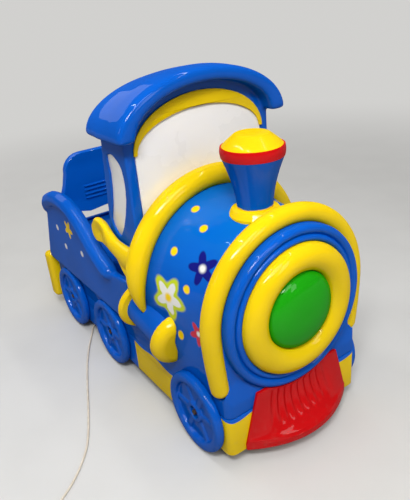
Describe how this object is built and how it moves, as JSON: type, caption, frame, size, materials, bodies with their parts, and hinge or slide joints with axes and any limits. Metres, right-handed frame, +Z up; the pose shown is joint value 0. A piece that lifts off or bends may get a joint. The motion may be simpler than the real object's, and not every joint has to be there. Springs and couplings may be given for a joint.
{
  "type": "locomotive kiddie ride",
  "caption": "Mains-powered children's ride shaped as a small steam locomotive with a seat behind a cab; a motor and crank rock the body on a steel base.",
  "frame": {"origin": "on the floor under the middle of the ride's length and width, lead left out", "axes": "+X towards the front (cow-catcher), +Y towards the ride's left, +Z up"},
  "size_m": [1.4, 1.2406, 1.0953],
  "materials": {
    "blue_gelcoat": "high-gloss moulded shell",
    "yellow_gelcoat": "high-gloss moulded shell",
    "white_panel": "satin gloss panel",
    "red_gelcoat": "high-gloss moulded shell",
    "green_lens": "glossy tinted lens",
    "zinc_steel": "zinc plated",
    "black_steel": "black paint",
    "black_rubber": "matte",
    "grey_plastic": "matte moulding",
    "cream_flex": "smooth sheath"
  },
  "bodies": {
    "base": {"base_frame": "black_steel", "pivot_shaft": "zinc_steel", "control_box": "grey_plastic", "gear_motor": "grey_plastic", "cord_gland": "black_rubber", "cord_run": "cream_flex", "cord_coil": "cream_flex", "plug": "cream_flex", "foot_front_left": "black_rubber", "foot_front_right": "black_rubber", "foot_rear_left": "black_rubber", "foot_rear_right": "black_rubber"},
    "ride_body": {"skirt": "yellow_gelcoat", "door_ring": "yellow_gelcoat", "front_hoop": "yellow_gelcoat", "rear_hoop": "yellow_gelcoat", "chimney_cap": "yellow_gelcoat", "windscreen_trim": "yellow_gelcoat", "rear_bumper": "yellow_gelcoat", "cylinder_cap_left": "yellow_gelcoat", "cylinder_cap_right": "yellow_gelcoat", "cab_sill_left": "yellow_gelcoat", "cab_sill_right": "yellow_gelcoat", "boiler_shell": "blue_gelcoat", "smokebox": "blue_gelcoat", "smokebox_ring": "blue_gelcoat", "chimney": "blue_gelcoat", "cab_bulkhead": "blue_gelcoat", "roof": "blue_gelcoat", "dashboard": "blue_gelcoat", "seat_tub": "blue_gelcoat", "seat": "blue_gelcoat", "backrest": "blue_gelcoat", "cylinder_left": "blue_gelcoat", "cylinder_right": "blue_gelcoat", "cab_side_left": "blue_gelcoat", "cab_side_right": "blue_gelcoat", "tender_side_left": "blue_gelcoat", "tender_side_right": "blue_gelcoat", "cow_catcher": "red_gelcoat", "chimney_band": "red_gelcoat", "lamp_lens": "green_lens", "windscreen": "white_panel", "side_window_left": "white_panel", "side_window_right": "white_panel", "rear_axle": "zinc_steel", "middle_axle": "zinc_steel", "front_axle": "zinc_steel", "pivot_bracket": "black_steel", "lift_bracket": "black_steel"},
    "crank": {"crank": "zinc_steel"},
    "connecting_rod": {"connecting_rod": "black_steel"},
    "steering_wheel": {"steering_wheel": "yellow_gelcoat"},
    "start_button": {"start_button": "green_lens"},
    "rear_wheel_left": {"rear_wheel_left": "blue_gelcoat"},
    "rear_wheel_right": {"rear_wheel_right": "blue_gelcoat"},
    "middle_wheel_left": {"middle_wheel_left": "blue_gelcoat"},
    "middle_wheel_right": {"middle_wheel_right": "blue_gelcoat"},
    "front_wheel_left": {"front_wheel_left": "blue_gelcoat"},
    "front_wheel_right": {"front_wheel_right": "blue_gelcoat"}
  },
  "joints": [
    {"name": "body_rock", "type": "hinge", "parent": "base", "child": "ride_body", "pos_m": [-0.43, 0, 0.095], "axis": [0, -1, 0], "range_deg": [0, 4.5]},
    {"name": "crank_turn", "type": "hinge", "parent": "base", "child": "crank", "pos_m": [-0.1608, 0, 0.07], "axis": [0, -1, 0], "range_deg": [0, 120]},
    {"name": "rod_swing", "type": "hinge", "parent": "crank", "child": "connecting_rod", "pos_m": [-0.1545, 0, 0.05909], "axis": [0, -1, 0], "range_deg": [-120, 0]},
    {"name": "steering_turn", "type": "hinge", "parent": "ride_body", "child": "steering_wheel", "pos_m": [0.1103, 0, 0.658], "axis": [-0.8944, 0, 0.4472], "range_deg": [-120, 120]},
    {"name": "button_press", "type": "slide", "parent": "ride_body", "child": "start_button", "axis": [0.8944, 0, -0.4472], "range_m": [0, 0.006], "stiffness_N_per_m": 600},
    {"name": "rear_wheel_left_spin", "type": "hinge", "parent": "ride_body", "child": "rear_wheel_left", "pos_m": [-0.475, 0.278, 0.138], "axis": [0, 1, 0], "continuous": true},
    {"name": "rear_wheel_right_spin", "type": "hinge", "parent": "ride_body", "child": "rear_wheel_right", "pos_m": [-0.475, -0.278, 0.138], "axis": [0, 1, 0], "continuous": true},
    {"name": "middle_wheel_left_spin", "type": "hinge", "parent": "ride_body", "child": "middle_wheel_left", "pos_m": [-0.108, 0.278, 0.138], "axis": [0, 1, 0], "continuous": true},
    {"name": "middle_wheel_right_spin", "type": "hinge", "parent": "ride_body", "child": "middle_wheel_right", "pos_m": [-0.108, -0.278, 0.138], "axis": [0, 1, 0], "continuous": true},
    {"name": "front_wheel_left_spin", "type": "hinge", "parent": "ride_body", "child": "front_wheel_left", "pos_m": [0.47, 0.278, 0.138], "axis": [0, 1, 0], "continuous": true},
    {"name": "front_wheel_right_spin", "type": "hinge", "parent": "ride_body", "child": "front_wheel_right", "pos_m": [0.47, -0.278, 0.138], "axis": [0, 1, 0], "continuous": true}
  ],
  "couplings": [
    {"joint": "crank_turn", "follows": "body_rock", "ratio": 26.667},
    {"joint": "rod_swing", "follows": "body_rock", "ratio": -26.667}
  ]
}
